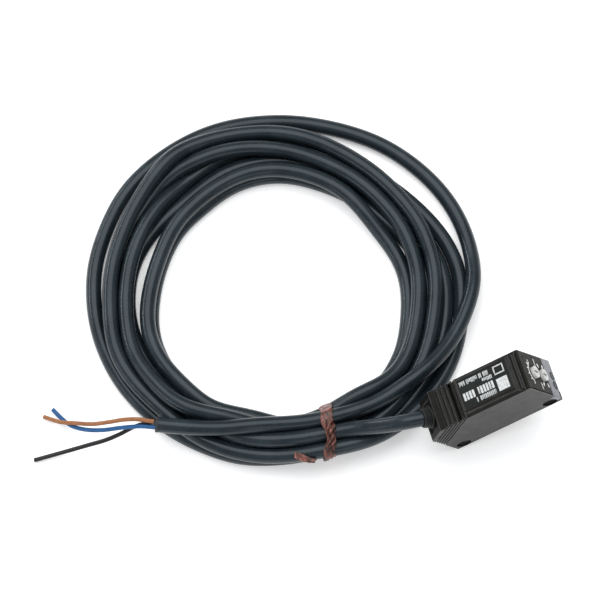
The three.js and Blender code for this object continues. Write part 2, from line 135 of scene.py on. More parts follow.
# ---- materials
class Surface:
    """A Principled material, with procedural detail on the piece's own axes in metres."""

    def __init__(self, name, color, roughness, metallic=0.0, **sockets):
        self.material = bpy.data.materials.new(name)
        self.material.use_nodes = True
        self.material.diffuse_color = (*color, 1)
        self.nodes = self.material.node_tree.nodes
        self.links = self.material.node_tree.links
        self.shader = self.nodes["Principled BSDF"]
        self.set("Base Color", (*color, 1))
        self.set("Roughness", roughness)
        self.set("Metallic", metallic)
        for socket, value in sockets.items():
            self.set(socket.replace("_", " "), value)
        self.place = self.nodes.new("ShaderNodeTexCoord").outputs["Object"]
        self.normal = None

    def set(self, socket, value):
        self.shader.inputs[socket].default_value = value

    def stretched(self, stretch):
        """The object's own coordinates, scaled on each axis."""
        if stretch == (1, 1, 1):
            return self.place
        mapping = self.nodes.new("ShaderNodeMapping")
        mapping.inputs["Scale"].default_value = stretch
        self.links.new(self.place, mapping.inputs["Vector"])
        return mapping.outputs["Vector"]

    def noise(self, size, detail=3.0, stretch=(1, 1, 1)):
        """Soft random values from 0 to 1, with features about size metres across."""
        node = self.nodes.new("ShaderNodeTexNoise")
        node.inputs["Scale"].default_value = 1 / size
        node.inputs["Detail"].default_value = detail
        self.links.new(self.stretched(stretch), node.inputs["Vector"])
        return node.outputs["Fac"]

    def ranged(self, value, low, high, start=0.3, end=0.7):
        node = self.nodes.new("ShaderNodeMapRange")
        node.inputs["From Min"].default_value = start
        node.inputs["From Max"].default_value = end
        node.inputs["To Min"].default_value = low
        node.inputs["To Max"].default_value = high
        self.links.new(value, node.inputs["Value"])
        return node.outputs["Result"]

    def color_between(self, value, first, second, start=0.3, end=0.7):
        """Base colour that runs from first to second as value goes from start to end."""
        ramp = self.nodes.new("ShaderNodeValToRGB")
        ramp.color_ramp.elements[0].position = start
        ramp.color_ramp.elements[1].position = end
        ramp.color_ramp.elements[0].color = (*first, 1)
        ramp.color_ramp.elements[1].color = (*second, 1)
        self.links.new(value, ramp.inputs["Fac"])
        self.links.new(ramp.outputs["Color"], self.shader.inputs["Base Color"])
        return ramp.color_ramp

    def roughness_between(self, value, low, high, start=0.3, end=0.7):
        self.links.new(self.ranged(value, low, high, start, end), self.shader.inputs["Roughness"])

    def bump(self, height, distance, strength=1.0):
        """Adds relief on top of any relief there already, distance metres deep."""
        node = self.nodes.new("ShaderNodeBump")
        node.inputs["Distance"].default_value = distance
        node.inputs["Strength"].default_value = strength
        self.links.new(height, node.inputs["Height"])
        if self.normal:
            self.links.new(self.normal, node.inputs["Normal"])
        self.normal = node.outputs["Normal"]
        self.links.new(self.normal, self.shader.inputs["Normal"])


def moulded_plastic(name, color, roughness, specular=0.5, grain=0.00012, depth=0.000006, shift=0.25):
    """Injection-moulded plastic: spark-eroded grain, and faint tone and gloss changes."""
    surface = Surface(name, color, roughness, Specular_IOR_Level=specular)
    cloud = surface.noise(0.004, detail=4)
    darker = tuple(c * (1 - shift) for c in color)
    lighter = tuple(min(1, c * (1 + shift)) for c in color)
    surface.color_between(cloud, darker, lighter)
    surface.roughness_between(surface.noise(0.0025, detail=4), roughness - 0.03, roughness + 0.04)
    surface.bump(surface.noise(grain, detail=2), depth)
    return surface.material


def cable_material():
    """Black PVC sheath with a slight blue cast, drawn smooth with a fine matt skin."""
    surface = Surface("cable_pvc", (0.016, 0.024, 0.031), 0.26, Specular_IOR_Level=0.32)
    surface.set("Specular Tint", (0.86, 0.95, 1.0, 1))
    surface.color_between(surface.noise(0.006, detail=3), (0.009, 0.014, 0.018), (0.018, 0.026, 0.032))
    surface.roughness_between(surface.noise(0.0015, detail=4), 0.18, 0.30)
    surface.bump(surface.noise(0.00025, detail=2), 0.000003, 0.6)
    surface.bump(surface.noise(0.004, detail=1), 0.00004, 0.4)
    return surface.material


def wire_material(name, color):
    surface = Surface(name, color, 0.38, Specular_IOR_Level=0.4)
    darker = tuple(c * 0.7 for c in color)
    surface.color_between(surface.noise(0.0012, detail=3), darker, color)
    surface.roughness_between(surface.noise(0.0008), 0.32, 0.46)
    surface.bump(surface.noise(0.0002, detail=2), 0.000006)
    return surface.material


def tie_material():
    """Brown plastic film over paper, with golden-brown creases, painted shade in the darkest creases and
    painted highlights along the palest streaks.
    """
    surface = Surface("tie_film", (0.20, 0.09, 0.075), 0.36)
    shade_and_highlight_streaks = surface.noise(0.0011, detail=4, stretch=(1.5, 0.45, 1))
    # The ramp's near-black end is painted shade in the creases, and its pale end is painted highlight along
    # the streaks; the browns between are the film's own colour.
    ramp = surface.color_between(shade_and_highlight_streaks, (0.012, 0.003, 0.002), (0.26, 0.088, 0.070), 0.36, 0.66)
    ramp.elements.new(0.44).color = (0.085, 0.028, 0.012, 1)
    ramp.elements.new(0.52).color = (0.115, 0.032, 0.024, 1)
    surface.roughness_between(surface.noise(0.0006), 0.25, 0.5)
    surface.bump(surface.noise(0.0007, detail=3, stretch=(1.5, 0.6, 1)), 0.00012, 0.7)
    return surface.material


# ---- mesh helpers
def add_piece(name, mesh, material, body=BODY, matrix=None):
    piece = placed(name, mesh)
    if matrix is not None:
        piece.matrix_world = matrix
    mesh.materials.clear()
    mesh.materials.append(material)
    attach(piece, body)
    return piece


def cord_piece(name, points, diameter, material):
    """A round cord as one open spline through closely spaced points, given in millimetres."""
    curve = bpy.data.curves.new(name, "CURVE")
    curve.dimensions = "3D"
    curve.bevel_depth = diameter / 2 * MM
    curve.bevel_resolution = 8
    curve.use_fill_caps = True
    curve.twist_mode = "MINIMUM"
    spline = curve.splines.new("POLY")
    spline.points.add(len(points) - 1)
    for point, place in zip(spline.points, points):
        point.co = (*(Vector(place) * MM), 1)
    spline.use_smooth = True
    curve.materials.append(material)
    piece = placed(name, curve)
    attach(piece, BODY)
    return piece


# ---- the cable
LEAD_ROUTE = (
    (-9.95, 0, 15.2), (-13.75, 0, 16.36), (-17.75, 0, 17.58), (-20.5, 0.3, 18.2), (-23.5, 1.2, 18.0),
    (-26.5, 2.3, 16.6), (-29.5, 3.4, 14.6), (-32.5, 4.3, 12.8), (-35.5, 5.0, 11.5), (-39, 5.4, 10.9),
)
TAIL_ROUTE = (
    (-39, 9.9, 10.6), (-43, 10.1, 10.6), (-46, 10.5, 10.6), (-52, 11.9, 10.6), (-57.9, 13.4, 10.6),
    (-64, 15.4, 10.5), (-69.9, 17.5, 10.3), (-75, 19.5, 10.1), (-79.9, 21.6, 9.8),
)

# The seven turns, each from the tie clockwise to the tie again. A point is the angle turned,
# in degrees, the distance from the coil's centre and the height, before the turns settle.
TURNS = (
    ((13, 39.8, 9.2), (25, 39.1, 8), (50, 38.6, 4.5), (83, 37.3, 4.1), (100, 37.9, 2), (114, 37.9, 2),
     (126, 37.8, 2), (148, 37.1, 2), (175, 37.3, 2), (200, 37.9, 2), (225, 37.6, 2), (240, 37.9, 2),
     (255, 39.8, 2), (268, 41.9, 2), (282, 43.8, 2), (310, 43.6, 2), (335, 43, 2), (360, 40.7, 2.6)),
    ((13, 39.8, 2.2), (30, 37, 2), (50, 34.8, 2), (76, 34.2, 2), (91, 33.2, 2), (106, 31.8, 2),
     (125, 31.0, 2), (148, 31.8, 2), (175, 33.1, 2), (200, 33.8, 2), (225, 33.5, 2), (240, 33.8, 2),
     (255, 35.6, 2), (268, 37.7, 2), (282, 39.2, 2), (310, 39.4, 2), (325, 39.8, 2), (340, 38.8, 2),
     (360, 36.7, 2.6)),
    ((12, 35.2, 3.5), (25, 34, 5), (38, 34.8, 6), (50, 35.8, 6.5), (65, 35.8, 7), (83, 34.6, 7.1),
     (95, 33.6, 6.2), (108, 32.2, 6), (125, 31.2, 6), (148, 32.0, 6), (180, 33.5, 6), (200, 34.0, 6),
     (225, 33.4, 6), (240, 32.7, 5.4), (255, 32.1, 3.4), (268, 33.3, 2), (282, 34.0, 2), (310, 35.4, 2),
     (325, 36.2, 3.4), (340, 37.4, 5.4), (360, 38.7, 6.1)),
    ((25, 39.4, 4.5), (50, 40.2, 2.5), (83, 40.9, 2), (100, 42, 2), (114, 42.1, 2), (126, 42.1, 2),
     (148, 41.6, 2), (165, 41.2, 4), (182, 40.8, 5.6), (200, 39.4, 6), (225, 37.6, 6),
     (240, 37.2, 6), (255, 37.0, 6), (268, 36.9, 5.7), (282, 36.7, 5.6), (310, 37.0, 6),
     (325, 37.6, 6.8), (340, 36.8, 7), (360, 35.6, 6.1)),
    ((13, 36.2, 5.8), (30, 37.8, 5), (50, 39, 6), (65, 39.6, 7.5), (83, 40.0, 8.2), (100, 38.6, 6.2),
     (114, 38.0, 5.9), (126, 37.9, 5.9), (148, 38, 5.6), (175, 40.5, 3.4), (200, 41.9, 2),
     (225, 41.5, 2), (240, 41.9, 2), (255, 43.6, 2), (268, 46.0, 2), (282, 47.6, 2), (300, 47.6, 2),
     (315, 47.0, 3), (335, 46, 6), (350, 44.8, 8.4), (360, 43.9, 9.5)),
    ((13, 43.2, 9), (25, 42.6, 8.2), (50, 42, 6.5), (83, 43.2, 5.6), (100, 42.3, 6.1), (114, 42.2, 6.1),
     (126, 42.3, 6.1), (148, 43.4, 6), (175, 45.0, 5.6), (192, 44.6, 5.9), (208, 43.2, 6), (225, 41.7, 6),
     (240, 41.3, 6), (255, 41.2, 6), (268, 41.2, 5.9), (282, 40.8, 6), (310, 41, 6), (325, 41.8, 6),
     (340, 42.6, 6), (360, 42.7, 6.1)),
    ((13, 42, 5), (25, 41.2, 3.5), (50, 41.8, 2.2), (70, 43.2, 2), (83, 44.8, 2), (98, 46.0, 2),
     (114, 46.8, 2), (126, 47.2, 2), (148, 48.3, 2), (175, 48.4, 2), (200, 48.3, 2), (225, 49.5, 2.2),
     (240, 50.6, 2.2), (255, 51.5, 2.2), (268, 51.5, 2.4), (282, 50.2, 3.5), (300, 46.9, 7), (315, 43.4, 9),
     (335, 39.4, 10), (349, 37.4, 9.6)),
)
TIE_ANGLE = 270                   # the tie's direction from the coil's centre
TIE_X = -39.0
TIE_LAYER = 9.6                   # height of the strands that lie highest in the tie
TIE_REACH = 5                     # how far along x the tie's hold reaches
BUNDLE_Y = 18                     # strands nearer than this pass through the tie
NEIGHBOURS = 8                    # steps along the cable that never count as touching
PLAN_PULL, TIE_PULL = 0.05, 0.22  # share of its stray that a point gives up each round
SINKING = 0.03                    # how far a loose point sinks each round


def along_curve(points, spacing):
    """Evenly spaced points on a smooth curve through the given ones (centripetal Catmull-Rom)."""
    known = np.array(points, float)
    known = np.vstack([2 * known[0] - known[1], known, 2 * known[-1] - known[-2]])
    fine = []
    for p0, p1, p2, p3 in zip(known, known[1:], known[2:], known[3:]):
        t1 = math.sqrt(np.linalg.norm(p1 - p0))
        t2 = t1 + math.sqrt(np.linalg.norm(p2 - p1))
        t3 = t2 + math.sqrt(np.linalg.norm(p3 - p2))
        t = np.linspace(t1, t2, 24, endpoint=False)[:, None]
        a1 = ((t1 - t) * p0 + t * p1) / t1
        a2 = ((t2 - t) * p1 + (t - t1) * p2) / (t2 - t1)
        a3 = ((t3 - t) * p2 + (t - t2) * p3) / (t3 - t2)
        b1 = ((t2 - t) * a1 + t * a2) / t2
        b2 = ((t3 - t) * a2 + (t - t1) * a3) / (t3 - t1)
        fine.append(((t2 - t) * b1 + (t - t1) * b2) / (t2 - t1))
    fine = np.vstack(fine + [known[-2:-1]])
    distance = np.concatenate([[0], np.cumsum(np.linalg.norm(np.diff(fine, axis=0), axis=1))])
    even = np.linspace(0, distance[-1], round(distance[-1] / spacing) + 1)
    return np.column_stack([np.interp(even, distance, fine[:, axis]) for axis in range(3)])


def planned_cable():
    """Points of the whole cable before it settles: lead, seven turns, tail."""
    points = list(LEAD_ROUTE)
    for turn in TURNS:
        for turned, radius, height in turn:
            angle = math.radians(TIE_ANGLE - turned)
            points.append((
                COIL_CENTRE.x + radius * math.cos(angle),
                COIL_CENTRE.y + radius * math.sin(angle),
                height,
            ))
    return points + list(TAIL_ROUTE)


def smoothed(values, times, fixed):
    for _ in range(times):
        middle = values.copy()
        middle[1:-1] = 0.25 * values[:-2] + 0.5 * values[1:-1] + 0.25 * values[2:]
        middle[fixed] = values[fixed]
        values = middle
    return values


def push_apart(points, first, second, contact, free):
    """Moves each pair of points that is closer than contact apart, half the overlap each."""
    between = points[second] - points[first]
    distance = np.linalg.norm(between, axis=1)
    close = distance < contact
    first, second, between, distance = first[close], second[close], between[close], distance[close]
    move = between / distance[:, None] * (0.5 * (contact - distance))[:, None]
    total = np.zeros_like(points)
    count = np.ones(len(points))
    np.add.at(total, second, move)
    np.add.at(total, first, -move)
    np.add.at(count, np.concatenate([first, second]), 1)
    count = np.maximum(count - 1, 1)
    points[free] += (total / np.sqrt(count)[:, None])[free]
    points[:, 2] = np.maximum(points[:, 2], CABLE_DIAMETER / 2)


def near_pairs(points, reach):
    """Pairs of points closer than reach, leaving out neighbours along the cable."""
    gap = np.linalg.norm(points[:, None] - points[None], axis=2)
    first, second = np.nonzero(gap < reach)
    apart = second - first > NEIGHBOURS
    return first[apart], second[apart]


def free_to_move(points, held_start):
    """All points but those held in the bushing and the cable's last one."""
    free = np.ones(len(points), bool)
    free[:held_start] = False
    free[-1] = False
    return free


def settled(plan, held_start, rounds=420):
    """Lets the turns sink under their own weight until they rest on the floor and each other.

    The cable's stiffness smooths how far it strays from its planned line, and the tie holds
    the bundle where it passes through it.
    """
    contact = CABLE_DIAMETER + 0.03
    free = free_to_move(plan, held_start)
    in_bundle = plan[:, 1] < BUNDLE_Y
    hold = np.where(in_bundle, np.exp(-(((plan[:, 0] - TIE_X) / TIE_REACH) ** 2)), 0)
    pull = (PLAN_PULL + TIE_PULL * hold)[:, None]
    packed = np.minimum(plan[:, 2], TIE_LAYER)
    points = plan.copy()
    for step in range(rounds):
        if step % 20 == 0:
            first, second = near_pairs(points, contact + 3)
        moved = points.copy()
        moved[:, :2] += pull * (plan[:, :2] - points[:, :2])
        moved[:, 2] += 0.25 * hold * (packed - points[:, 2]) - SINKING * (1 - hold)
        points[free] = moved[free]
        passes = 6 if step < 0.7 * rounds else 2
        strayed = smoothed(points[:, :2] - plan[:, :2], passes, ~free)
        points[:, :2] = plan[:, :2] + strayed
        points[:, 2] = smoothed(points[:, 2], passes, ~free)
        for _ in range(4):
            push_apart(points, first, second, contact, free)
    return points


def parted(points, held_start, rounds=60):
    """Eases apart what smoothing the settled line has pressed together."""
    free = free_to_move(points, held_start)
    first, second = near_pairs(points, CABLE_DIAMETER + 1.5)
    eased = points.copy()
    for _ in range(rounds):
        push_apart(eased, first, second, CABLE_DIAMETER + 0.02, free)
        eased = points + smoothed(eased - points, 1, ~free)
    return eased


def make_cable():
    """The whole cable: out of the bushing, through the tie, seven turns and back through it."""
    plan = along_curve(planned_cable(), 2.0)
    held_start = int(np.argmax(plan[:, 0] < -20.5))
    points = settled(plan, held_start)
    points = smoothed(points, 5, np.zeros(len(points), bool))
    points = parted(points, held_start)
    line = along_curve(points, 1.0)
    cable = cord_piece("cable", line, CABLE_DIAMETER, cable_material())
    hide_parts("cable_lead", "cable_coil", "cable_tail")
    return cable, line


def make_cut_end(line):
    """The square-cut end: a plain ring of sheath round a paler filler, where the wires come out."""
    direction = Vector(line[-1] - line[-3]).normalized()
    reach = CABLE_DIAMETER / 2
    ring = [(reach - 0.85, -0.6), (reach - 0.06, -0.6), (reach + 0.03, -0.5), (reach + 0.03, 0.12),
            (reach - 0.04, 0.2), (reach - 0.5, 0.22), (reach - 0.62, 0.12), (reach - 0.85, -0.6)]
    filler = [(0, -0.4), (reach - 0.5, -0.4), (reach - 0.55, 0.08), (0, 0.14)]
    dark = moulded_plastic("cut_sheath_pvc", (0.016, 0.020, 0.024), 0.6, depth=0.00002)
    pale = moulded_plastic("filler_pvc", (0.16, 0.16, 0.16), 0.7, depth=0.00003)
    pieces = []
    for name, profile, surface in (("cut_sheath_ring", ring, dark), ("cut_sheath_filler", filler, pale)):
        mesh = mesh_of(turned(profile, line[-1], direction, 40), name)
        mesh.shade_smooth()
        pieces.append(add_piece(name, mesh, surface))
    return pieces


WIRE_ROUTES = {
    "brown": (
        (-80.3, 22.3, 10.4), (-83.9, 24.2, 10.1), (-87.3, 25.6, 9.0), (-90.9, 26.6, 7.6),
        (-95.0, 28.0, 5.8), (-98.9, 30.1, 4.1), (-102.3, 32.0, 2.7), (-105.7, 35.2, 0.8),
    ),
    "blue": (
        (-80.2, 21.0, 9.4), (-84.0, 22.7, 8.9), (-88.4, 24.3, 7.3), (-93.0, 25.8, 5.4),
        (-97.0, 27.8, 3.8), (-99.9, 30.2, 2.6), (-101.6, 33.2, 1.4), (-103.0, 36.4, 0.7),
    ),
    "black": (
        (-80.7, 22.6, 9.1), (-82.9, 23.3, 8.2), (-85.6, 23.6, 6.9), (-88.8, 23.4, 5.6),
        (-92.8, 23.4, 4.2), (-97.5, 23.9, 2.9), (-103.5, 24.4, 1.8), (-111.5, 25.0, 0.7),
    ),
}
WIRE_COLORS = {"brown": (0.34, 0.135, 0.05), "blue": (0.012, 0.100, 0.28), "black": (0.008, 0.008, 0.009)}


def make_wires():
    for colour, route in WIRE_ROUTES.items():
        line = along_curve(route, 0.4)
        material = wire_material(f"{colour}_wire_pvc", WIRE_COLORS[colour])
        wire = cord_piece(f"{colour}_wire", line, WIRE_DIAMETER, material)
        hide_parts(f"wire_{colour}")


# ---- the twist tie
TIE_HALF_WIDTH = 1.7
TIE_THICKNESS = 0.22
TIE_COLUMNS = 13
END_STEPS = 22
TIE_LEAN_Y = (0.5, 1.5, 4.0, 8.0, 12.5)
TIE_LEAN_X = (-41.0, -40.9, -39.6, -39.3, -38.0)


def hull(points):
    """Convex outline of flat points, anticlockwise."""
    ordered = sorted(map(tuple, points))
    sides = []
    for run in (ordered, ordered[::-1]):
        side = []
        for point in run:
            while len(side) > 1 and turn_left(side[-2], side[-1], point) <= 0:
                side.pop()
            side.append(point)
        sides += side[:-1]
    return sides


def turn_left(a, b, c):
    return (b[0] - a[0]) * (c[1] - a[1]) - (b[1] - a[1]) * (c[0] - a[0])


def strands_at(line, x):
    """Where the cable's turns pass through the bundle at x."""
    crossing = (line[:-1, 0] - x) * (line[1:, 0] - x) < 0
    return line[:-1][crossing & (line[:-1, 1] < 20)]


def bundle_outline(line, gap):
    """(y, z) outline of a band drawn tight round the strands that pass through the tie."""
    reach = CABLE_DIAMETER / 2 + gap
    ring = []
    for strand in strands_at(line, TIE_X):
        for step in range(24):
            angle = 2 * math.pi * step / 24
            height = strand[2] + reach * math.sin(angle)
            ring.append((strand[1] + reach * math.cos(angle), max(height, TIE_THICKNESS + 0.06)))
    return hull(ring)


def ribbon(shape, path, across, widths, folds, seed, ridges=0.12):
    """A strip along path, with folds along its length and puckers across it.

    across gives its sideways direction at each point, and folds how deep the pleats are there.
    """
    rows = []
    phase = np.random.default_rng(seed).uniform(0, 2 * math.pi, 6)
    for i, (middle, side, width, fold) in enumerate(zip(path, across, widths, folds)):
        ahead = path[min(i + 1, len(path) - 1)] - path[max(i - 1, 0)]
        outward = side.cross(ahead).normalized()
        row = []
        for k in range(TIE_COLUMNS):
            u = 2 * k / (TIE_COLUMNS - 1) - 1
            pleat = math.cos(3.1 * math.pi * u + 0.12 * i + phase[0]) + 0.5 * math.sin(9 * u + phase[1])
            pucker = math.sin(0.8 * i + 2.2 * u + phase[2]) + 0.6 * math.sin(1.7 * i - 3 * u + phase[3])
            rolled = 0.16 * abs(u) ** 6
            lift = fold * pleat + ridges * (1 - fold) * 0.5 * pucker + rolled
            edge = 0.05 * math.sin(0.6 * i + phase[4] + u) * width * abs(u)
            row.append(shape.verts.new((middle + side * (u * width + edge) + outward * lift) * MM))
        rows.append(row)
    return rows


def stitch(shape, rows, closed=False):
    pairs = list(zip(rows, rows[1:]))
    if closed:
        pairs.append((rows[-1], rows[0]))
    for row, following in pairs:
        for a, b, c, d in zip(row, row[1:], following[1:], following):
            shape.faces.new((a, b, c, d))


def tie_band(shape, outline):
    """The band: round under the bundle and up both sides, drawn in under the knot."""
    loop = [Vector((0, y, z)) for y, z in outline]
    loop.append(loop[0])
    even = along_curve([tuple(p) for p in loop], 0.4)[:-1]
    top = even[:, 2].max()
    path, across, widths, folds = [], [], [], []
    for _, y, z in even:
        lean = np.interp(y, TIE_LEAN_Y, TIE_LEAN_X)
        knotted = z > top - 3 and 2.4 < y < 7.6
        path.append(Vector((lean, y, z)))
        across.append(Vector((1, 0.12, 0)).normalized())
        widths.append(1.0 if knotted else TIE_HALF_WIDTH * (0.92 if y < 5 else 1))
        folds.append(0.16 if knotted or y < 2.4 else 0.02)
    ends = np.zeros(len(widths), bool)
    widths = smoothed(np.array(widths), 3, ends)
    folds = smoothed(np.array(folds), 3, ends)
    stitch(shape, ribbon(shape, path, across, widths, folds, seed=4), closed=True)


def tie_twist(shape, outline):
    """Both ends gathered into pleats and twisted together down the top of the bundle."""
    top = max(z for _, z in outline)
    route = along_curve([
        (-38.9, 8.6, top - 0.1), (-38.8, 7.2, top + 0.7), (-39.1, 5.2, top + 0.9),
        (-39.5, 3.4, top + 0.6), (-40.2, 1.6, top - 1.6),
    ], 0.2)
    for strand in range(4):
        path, across, widths = [], [], []
        for i, point in enumerate(route):
            turn = strand * math.pi / 2 + 0.16 * i
            around = Vector((math.cos(turn), 0, math.sin(turn)))
            share = i / (len(route) - 1)
            spread = 0.78 + 0.3 * abs(2 * share - 1) ** 3
            path.append(Vector(point) + around * spread)
            across.append(Vector((-math.sin(turn + 0.5), 0.1, math.cos(turn + 0.5))).normalized())
            widths.append(0.5)
        stitch(shape, ribbon(shape, path, across, widths, [0.07] * len(path), seed=11 + strand))


def tie_end(shape, line):
    """The cut end of the strip, lying along the nearest turn to the viewer."""
    path, across = [], []
    for step in range(END_STEPS):
        share = step / (END_STEPS - 1)
        x = -44.7 - 4.7 * share
        strands = strands_at(line, x)
        nearest = strands[np.argmin(strands[:, 1])]
        angle = math.radians(86 - 70 * share)
        reach = CABLE_DIAMETER / 2 + 0.25
        outward = Vector((0, -math.sin(angle), math.cos(angle)))
        path.append(Vector((x, nearest[1], nearest[2])) + outward * reach)
        across.append(Vector((0.35, math.cos(angle), math.sin(angle))).normalized())
    widths = [0.85 * min(1, 0.55 + 0.3 * (END_STEPS - 1 - step)) for step in range(END_STEPS)]
    rows = []
    for middle, side, width in zip(path, across, widths):
        outward = Vector((0, -side.z, side.y)).normalized()
        row = []
        for k in range(TIE_COLUMNS):
            u = 2 * k / (TIE_COLUMNS - 1) - 1
            rib = 0.2 * math.exp(-(((abs(u) - 0.72) / 0.2) ** 2))
            row.append(shape.verts.new((middle + side * u * width + outward * rib) * MM))
        rows.append(row)
    stitch(shape, rows)


def make_tie(line):
    outline = bundle_outline(line, 0.3)
    shape = bmesh.new()
    tie_band(shape, outline)
    tie_twist(shape, outline)
    tie_end(shape, line)
    mesh = mesh_of(shape, "twist_tie_strip")
    mesh.shade_smooth()
    tie = add_piece("twist_tie_strip", mesh, tie_material())
    thicken = tie.modifiers.new("paper and wire", "SOLIDIFY")
    thicken.thickness = TIE_THICKNESS * MM
    thicken.offset = 1
    soften = tie.modifiers.new("soft creases", "SUBSURF")
    soften.levels = soften.render_levels = 1
    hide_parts("twist_tie")
    return tie


# ---- solids for the housing, drawn in millimetres on its own axes
def solid_between(*outline_pairs):
    """A closed solid between each pair of matching outlines, drawn in millimetres."""
    shape = bmesh.new()
    for outlines in outline_pairs:
        near, far = ([shape.verts.new([value * MM for value in point]) for point in outline]
                     for outline in outlines)
        shape.faces.new(near)
        shape.faces.new(far)
        for a, b in zip(range(len(near)), [*range(1, len(near)), 0]):
            shape.faces.new((near[a], near[b], far[b], far[a]))
    bmesh.ops.recalc_face_normals(shape, faces=shape.faces)
    return shape


def prism(outline, y0, y1):
    """A side-view outline of (x, z) points, drawn across from y0 to y1."""
    return solid_between(([(x, y0, z) for x, z in outline], [(x, y1, z) for x, z in outline]))


def slab(x, y, z):
    return prism([(x[0], z[0]), (x[1], z[0]), (x[1], z[1]), (x[0], z[1])], *y)


def rounded(x, z, radius, steps=5):
    """Outline of a rectangle with round corners."""
    corners = ((x[1], z[0], -90), (x[1], z[1], 0), (x[0], z[1], 90), (x[0], z[0], 180))
    outline = []
    for cx, cz, start in corners:
        middle_x = cx - math.copysign(radius, cx - sum(x) / 2)
        middle_z = cz - math.copysign(radius, cz - sum(z) / 2)
        for step in range(steps + 1):
            angle = math.radians(start + 90 * step / steps)
            outline.append((middle_x + radius * math.cos(angle), middle_z + radius * math.sin(angle)))
    return outline


def turned(profile, origin, axis, segments=48):
    """A (radius, distance) profile turned about axis; it closes on itself or on the axis."""
    shape = bmesh.new()
    turn = Vector((0, 0, 1)).rotation_difference(Vector(axis))
    rings = []
    for step in range(segments):
        angle = 2 * math.pi * step / segments
        ring = []
        for radius, along in profile:
            spoke = Vector((radius * math.cos(angle), radius * math.sin(angle), along))
            ring.append(shape.verts.new((Vector(origin) + turn @ spoke) * MM))
        rings.append(ring)
    for ring, following in zip(rings, rings[1:] + rings[:1]):
        for i in range(len(profile) - 1):
            shape.faces.new((ring[i], ring[i + 1], following[i + 1], following[i]))
    bmesh.ops.remove_doubles(shape, verts=shape.verts, dist=1e-7)
    bmesh.ops.dissolve_degenerate(shape, edges=shape.edges, dist=1e-8)
    bmesh.ops.recalc_face_normals(shape, faces=shape.faces)
    return shape


def rod(radius, start, end):
    return [(0, start), (radius, start), (radius, end), (0, end)]


def peg(radius, start, end, y, z, segments=48):
    """A cylinder along the housing's length."""
    return turned(rod(radius, start, end), (0, y, z), (1, 0, 0), segments)


def mesh_of(shape, name):
    mesh = bpy.data.meshes.new(name)
    shape.to_mesh(mesh)
    shape.free()
    return mesh


def carved(name, base, cuts):
    """The mesh of base with each of cuts taken away."""
    body = placed(name, mesh_of(base, name))
    tools = [placed("tool", mesh_of(shape, "tool")) for shape in cuts]
    for tool in tools:
        modifier = body.modifiers.new("cut", "BOOLEAN")
        modifier.operation = "DIFFERENCE"
        modifier.object = tool
        modifier.solver = "EXACT"
    evaluated = body.evaluated_get(bpy.context.evaluated_depsgraph_get())
    mesh = bpy.data.meshes.new_from_object(evaluated)
    for leftover in [body, *tools]:
        bpy.data.objects.remove(leftover)
    mesh.name = name
    return mesh


def housing_piece(name, mesh, material, body=BODY, edge=0.0, nodes=(), edge_material=None):
    """A piece of the housing, with its edges rounded by edge millimetres."""
    piece = add_piece(name, mesh, material, body, HOUSING)
    mesh.shade_smooth()
    if edge:
        bevel = piece.modifiers.new("rounded edges", "BEVEL")
        bevel.width = edge * MM
        bevel.segments = 2
        bevel.limit_method = "ANGLE"
        bevel.angle_limit = math.radians(32)
        bevel.use_clamp_overlap = False
        if edge_material:
            mesh.materials.append(edge_material)
            bevel.material = 1
    shading = piece.modifiers.new("flat faces shade flat", "WEIGHTED_NORMAL")
    shading.keep_sharp = True
    if nodes:
        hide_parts(*nodes)
    return piece


# ---- the case
HOLE_X = (2.8, 28.2)
HOLE_Z, HOLE_RADIUS = 2.1, 1.5
COUNTERBORE_RADIUS, COUNTERBORE_DEPTH = 2.0, 0.8
GROOVE_FIRST, GROOVE_STEP, GROOVE_COUNT = 7.0, 1.3, 5
GROOVE_WIDTH, GROOVE_DEPTH = 0.5, 0.45
LABEL_X, LABEL_Y, LABEL_RECESS = (12.9, 27.0), (-3.1, 4.5), 0.4
WINDOW_X, WINDOW_Y = (6.2, 24.8), 4.5
COVER_FOOT = 5.6
RIB_Y = (-4.6, 4.6)
CABLE_FACE = Vector((CHAMFER / 2, 0, DEPTH - CHAMFER / 2))
CABLE_AXIS = Vector((-1, 0, 1)).normalized()
CHEEK = 0.3                       # thickness of the case on each side of the end cover
LUG_Y, LUG_Z = -3.2, 1.1          # the corner of the case that reaches past the window


def groove_cuts():
    """Grooves round the cable end: straight over the back, at 45 degrees down the sides."""
    cuts = []
    half = GROOVE_WIDTH / 2 * math.sqrt(2)
    for i in range(GROOVE_COUNT):
        x = GROOVE_FIRST + i * GROOVE_STEP
        long_slope = [(x + 1 - half, DEPTH + 1), (x + 1 + half, DEPTH + 1),
                      (x - DEPTH - 1 + half, -1), (x - DEPTH - 1 - half, -1)]
        short_slope = [(x + 1 - half, DEPTH + 1), (x + 1 + half, DEPTH + 1),
                       (x - 0.3 + half, DEPTH - 0.3), (x - 0.3 - half, DEPTH - 0.3)]
        cuts.append(prism(long_slope, -HALF - 0.2, -HALF + GROOVE_DEPTH))
        cuts.append(prism(long_slope, HALF - GROOVE_DEPTH, HALF + 0.2))
        cuts.append(prism(short_slope, -HALF - 0.1, HALF + 0.1))
    return cuts


def cable_face_pocket():
    """Shallow sunk panel round the cable bushing."""
    slope = Vector((1, 0, 1)).normalized()
    corners = []
    for along, out in ((-2.55, -0.35), (2.55, -0.35), (2.55, 1), (-2.55, 1)):
        corner = CABLE_FACE + slope * along + CABLE_AXIS * out
        corners.append((corner.x, corner.z))
    return prism(corners, -3.9, 3.9)


